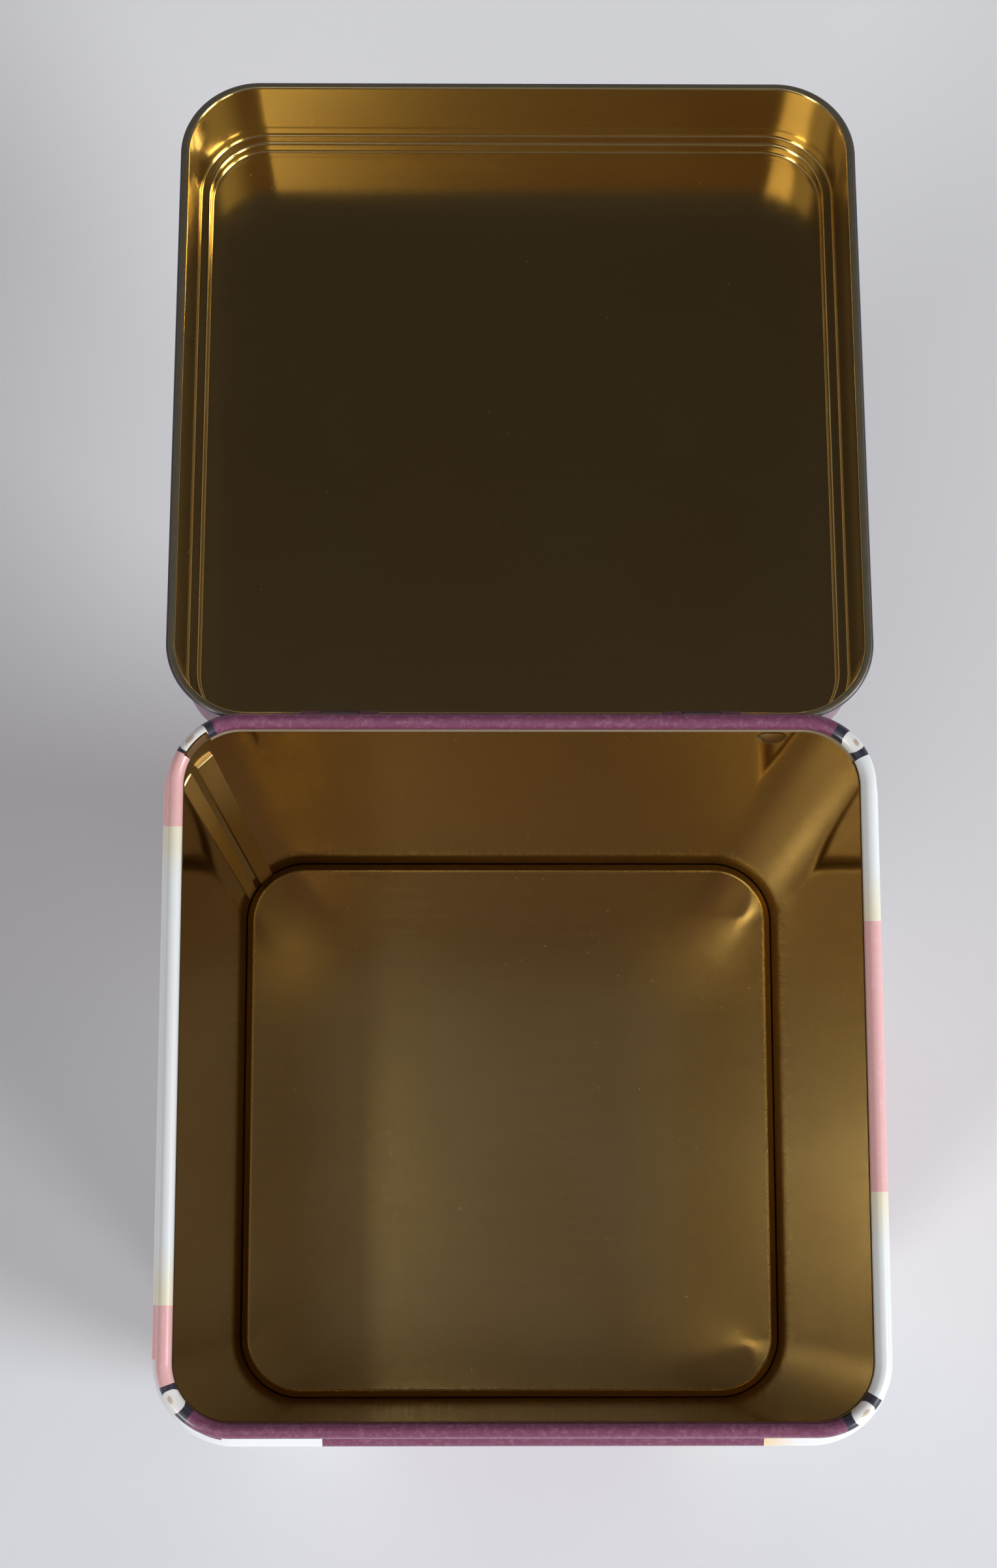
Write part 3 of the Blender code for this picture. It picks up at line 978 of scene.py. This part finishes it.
def buildLid():
    half = sheet / 2
    skirt = lidSizes["innerGap"] + half
    ledge = hemHeight + lidSizes["ledgeDepth"] + half
    top = hemHeight + lidSizes["panelDepth"] + half
    bend = lidSizes["stepBend"]
    riser = (lidSizes["panel"] + lidSizes["ledgeInner"]) / 2
    outline = [(lidSizes["panel"] - bend, top)]
    outline += arc((riser - bend, top - bend), bend, 90, 0, 8)
    outline += arc((riser + bend, ledge + bend), bend, 180, 270, 8)
    corner = lidSizes["ledgeCorner"]
    outline += arc((skirt - corner, ledge - corner), corner, 90, 0, 8)
    inner, outer = lidSizes["hemInner"], lidSizes["hemOuter"]
    outline += [(skirt, hemHeight + share * lidSizes["ledgeDepth"]) for share in (0.7, 0.4, 0.15)]
    outline += arc((skirt + inner, hemHeight + half + inner), inner, 180, 270, 6)
    outerMid = lidSizes["innerGap"] + 2 * lidSizes["hemRadius"] - half
    outline += arc((outerMid - outer, hemHeight + half + outer), outer, 270, 470, 18)
    piece = drawFront("lidCover", outline, lidCentre)
    carryRound(lidCentre, wall["turnSteps"])
    closePanel(piece, top)
    widen(piece, ledge - corner - lidSizes["widenBelowLedge"], 0, lidSizes["skirtWiden"])
    widen(piece, hemHeight + lidSizes["widenHemUpTo"], skirt + 2 * inner, lidSizes["hemWiden"])
    bpy.ops.object.mode_set(mode="OBJECT")
    return piece


def widen(piece, below, beyond, factor):
    # stretches the lid sideways where it lies below a height and beyond an offset
    bpy.ops.mesh.select_mode(type="VERT")
    bpy.ops.mesh.select_all(action="DESELECT")
    bpy.ops.object.mode_set(mode="OBJECT")
    for vertex in piece.data.vertices:
        vertex.select = vertex.co.z < below and cornerPlace(vertex.co, lidCentre)[0] > beyond
    bpy.ops.object.mode_set(mode="EDIT")
    bpy.ops.transform.resize(value=(factor, 1, 1), center_override=lidCentre)


lid = buildLid()
lid.data.materials.append(printedTin("lidPrint", lidCentre, rimTop, lidTurnBack, onLid=True))
lid.data.materials.append(goldLacquer("lidLacquer", (0.08, 1, 1), 0.15, 0.05))
lid.data.materials.append(bareMargin("lidEdge", "pale"))
lid.data.materials.append(rubbedLacquer("hemLacquer"))
giveThickness(lid, inner=1, rim=2)
skirtBack = lidSizes["innerGap"] + sheet / 2 - hingeFit["setBack"] - lidSizes["forward"]
notchTop = hemHeight + 2 * lidSizes["hemRadius"] + base["fit"]
for side in (-1, 1):
    middle = side * hingeFit["spread"]
    half = lidSizes["notchWidth"] / 2
    low = (middle - half, skirtBack - lidSizes["notchIn"], hemHeight - sheet)
    high = (middle + half, skirtBack + lidSizes["notchOut"], notchTop)
    combine(lid, box("hemNotch", low, high), "DIFFERENCE")
lidTab = [(skirtBack, notchTop + hingeFit["tabRoot"]), (skirtBack, hemHeight)]
lidTab.append((-hingeFit["knuckleMid"], hinge.z + hingeFit["knuckleMid"]))
lidTab += arc((0, hinge.z), hingeFit["knuckleMid"], 180, 450, hingeFit["turnSteps"])
for side in (-1, 1):
    middle = side * hingeFit["spread"]
    half = hingeFit["lidKnuckleHalf"]
    combine(lid, knuckle("lidKnuckle", lidTab, middle - half, middle + half), "UNION")


def hemSpot(face):
    # where a hem face would be with the lid shut: its height over the hem, its offset and its tilt
    swing = Matrix.Rotation(lidTurnBack, 3, "X")
    spot = swing @ (face.center - hinge) + hinge
    return spot.z - hemHeight, cornerPlace(spot, lidCentre)[0], (swing @ face.normal).z


def onHemEdge(face):
    height, outward, tilt = hemSpot(face)
    tall, deep = lidSizes["edgeBand"]
    limit = lidSizes["innerGap"] + 2 * lidSizes["hemRadius"] - deep
    return height < tall and outward > limit and abs(tilt) < lidSizes["flatTilt"]


def onHemFlat(face):
    height, outward, tilt = hemSpot(face)
    low = height < lidSizes["flatBand"]
    return low and outward > lidSizes["innerGap"] and tilt < -lidSizes["flatTilt"]


startEditing(lid)
bpy.ops.mesh.select_all(action="SELECT")
bpy.ops.transform.rotate(value=lidTurnBack, orient_axis="X", center_override=hinge)
bpy.ops.object.mode_set(mode="OBJECT")
smoothPiece(lid, 35)
print("lid hem:", giveMaterial(lid, 0, onHemEdge), giveMaterial(lid, 3, onHemFlat), "faces")
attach(lid, "lid")
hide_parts("lid")
print("lid done:", len(lid.data.polygons), "faces")


# Hinge pins: one turned wire, and its copy

def buildPin(name, side):
    bpy.ops.object.select_all(action="DESELECT")
    bpy.ops.mesh.primitive_cylinder_add(
        vertices=32,
        radius=hingeFit["pinRadius"],
        depth=hingeFit["pinLength"],
        location=(side * hingeFit["spread"], 0, hinge.z),
        rotation=(0, math.pi / 2, 0),
    )
    piece = bpy.context.object
    piece.name = piece.data.name = name
    bpy.ops.object.transform_apply(location=True, rotation=True, scale=True)
    ease = {"width": hingeFit["pinEase"], "segments": 3, "angle_limit": math.radians(50)}
    applyStep(piece, "BEVEL", limit_method="ANGLE", **ease)
    smoothPiece(piece, 40)
    piece.data.materials.append(wireSteel)
    return piece


wireSteel = drawnWire("pinSteel")
leftPin = buildPin("leftPin", -1)
bpy.ops.object.duplicate()
rightPin = bpy.context.object
rightPin.name = rightPin.data.name = "rightPin"
bpy.ops.object.mode_set(mode="EDIT")
bpy.ops.mesh.select_all(action="SELECT")
bpy.ops.transform.translate(value=(2 * hingeFit["spread"], 0, 0))
bpy.ops.object.mode_set(mode="OBJECT")
for pin, node in ((leftPin, "left_hinge_pin"), (rightPin, "right_hinge_pin")):
    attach(pin, "tin_body")
    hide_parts(node)
print("pins done")


# Floor, light and camera

studio = {
    "floor": (0.80, 0.815, 0.84, 1),
    "floorShade": (0.68, 0.69, 0.72, 1),
    "floorPaintedGlow": (0.88, 0.89, 0.90, 1),
    "floorPerMetre": 9.0,
    "glowCentre": (0.03, 0.16, 0),
    "glowFade": (0.08, 0.3),
    "leftLamp": ((-0.75, -1.0, 2.04), 4.4, 1.3, (1.0, 0.99, 0.95)),
    "rightLamp": ((1.7, -0.57, 1.24), 30.5, 0.8, (0.95, 0.98, 1.0)),
    "ceilingLamp": ((-0.27, -0.03, 1.6), 0.115, 0.07, (1.0, 0.98, 0.94)),
    "frontLeftLamp": ((-1.5, -1.67, 1.14), 20.0, 0.6, (1.0, 1.0, 1.0)),
    "frontRightLamp": ((1.5, -1.67, 1.14), 14.4, 0.6, (1.0, 1.0, 1.0)),
    "lampAim": (0, -0.03, 0.06),
    "sky": (
        (0.0, (0.34, 0.33, 0.37)),
        (0.35, (0.25, 0.24, 0.27)),
        (0.7, (0.10, 0.091, 0.104)),
        (1.0, (0.134, 0.117, 0.13)),
    ),
    "skyBack": 0.3,
    "backFade": (-0.1, 0.45),
    "backAbove": 0.5,
    "frontSky": (0.108, 0.066, 0.064, 1),
    "frontFade": (0.06, 0.18),
    "frontHeight": (0.85, 0.95),
    "sideSky": (0.42, 0.41, 0.40, 1),
    "sideFade": (0.22, 0.5),
    "sideHeight": (0.72, 0.82),
    "sideBack": (0.05, 0.2),
    "rightGlow": 0.65,
}
# the camera as fitted to the photograph, its focal length in the photograph's own pixels
view = {
    "place": (-0.00742, -0.08808, 0.5816),
    "turns": (("Y", -0.009), ("X", 0.179), ("Z", -0.001)),
    "sensor": 36.0,
    "photoHeight": 2408,
    "photoFocal": 4159.1,
}


def buildFloor():
    bpy.ops.object.select_all(action="DESELECT")
    bpy.ops.mesh.primitive_plane_add(size=6, location=(0, 0, 0))
    floor = bpy.context.object
    floor.name = floor.data.name = "floor"
    material, shader, place = startMaterial("floorPaint")
    soft = place.noise(studio["floorPerMetre"], 3.0)
    paint = soft.tint(studio["floor"], studio["floorShade"])
    # a painted pool of light on the floor round the tin, fading out with distance
    ends = {0: place, 1: studio["glowCentre"]}
    reach = place.node("ShaderNodeVectorMath", {"operation": "DISTANCE"}, ends, 1)
    feed(shader, "Base Color", reach.easeBetween(*studio["glowFade"]).tint(studio["floorPaintedGlow"], paint))
    shader.inputs["Roughness"].default_value = 0.8
    shader.inputs["Specular IOR Level"].default_value = 0.2
    floor.data.materials.append(material)


def addLamp(name, place, power, size, colour):
    data = bpy.data.lights.new(name, "AREA")
    data.shape = "DISK"
    data.size = size
    data.energy = power
    data.color = colour
    lamp = bpy.data.objects.new(name, data)
    bpy.context.collection.objects.link(lamp)
    lamp.location = place
    aim = Vector(studio["lampAim"]) - Vector(place)
    lamp.rotation_euler = aim.to_track_quat("-Z", "Y").to_euler()


def buildWorld():
    world = bpy.data.worlds.new("studioWorld")
    bpy.context.scene.world = world
    world.use_nodes = True
    tree = world.node_tree
    ground = tree.nodes["Background"]
    heading = Flow(tree).node("ShaderNodeTexCoord")
    split = heading.node("ShaderNodeSeparateXYZ", {}, {0: heading})
    height, towardsBack = split.other(2), split.other(1)
    tone = height.node("ShaderNodeValToRGB", {"stops": studio["sky"]}, {0: height})
    backShade = towardsBack.easeBetween(*studio["backFade"]) * (height > studio["backAbove"])
    dim = (backShade * (1 - studio["skyBack"])).tint(tone, (0.0, 0.0, 0.0, 1))
    frontGlow = (0 - towardsBack).easeBetween(*studio["frontFade"])
    frontGlow = frontGlow * height.easeBetween(*studio["frontHeight"])
    dim = frontGlow.tint(dim, studio["frontSky"])
    sideGlow = (0 - split).easeBetween(*studio["sideFade"])
    sideGlow = sideGlow + split.easeBetween(*studio["sideFade"]) * studio["rightGlow"]
    sideGlow = sideGlow * height.easeBetween(*studio["sideHeight"])
    sideGlow = sideGlow * (1 - towardsBack.easeBetween(*studio["sideBack"]))
    dim = sideGlow.tint(dim, studio["sideSky"])
    tree.links.new(dim.socket, ground.inputs["Color"])
    ground.inputs["Strength"].default_value = 1.0


def addCamera():
    data = bpy.data.cameras.new("camera")
    data.sensor_fit = "VERTICAL"
    data.sensor_height = view["sensor"]
    data.lens = view["photoFocal"] * view["sensor"] / view["photoHeight"]
    camera = bpy.data.objects.new("camera", data)
    bpy.context.collection.objects.link(camera)
    turn = Matrix()
    for axis, angle in view["turns"]:
        turn = turn @ Matrix.Rotation(angle, 4, axis)
    camera.matrix_world = Matrix.Translation(view["place"]) @ turn
    bpy.context.scene.camera = camera


buildFloor()
for lampName in ("leftLamp", "rightLamp", "ceilingLamp", "frontLeftLamp", "frontRightLamp"):
    addLamp(lampName, *studio[lampName])
buildWorld()
addCamera()
bpy.context.scene.view_settings.view_transform = "Standard"
print("studio done")
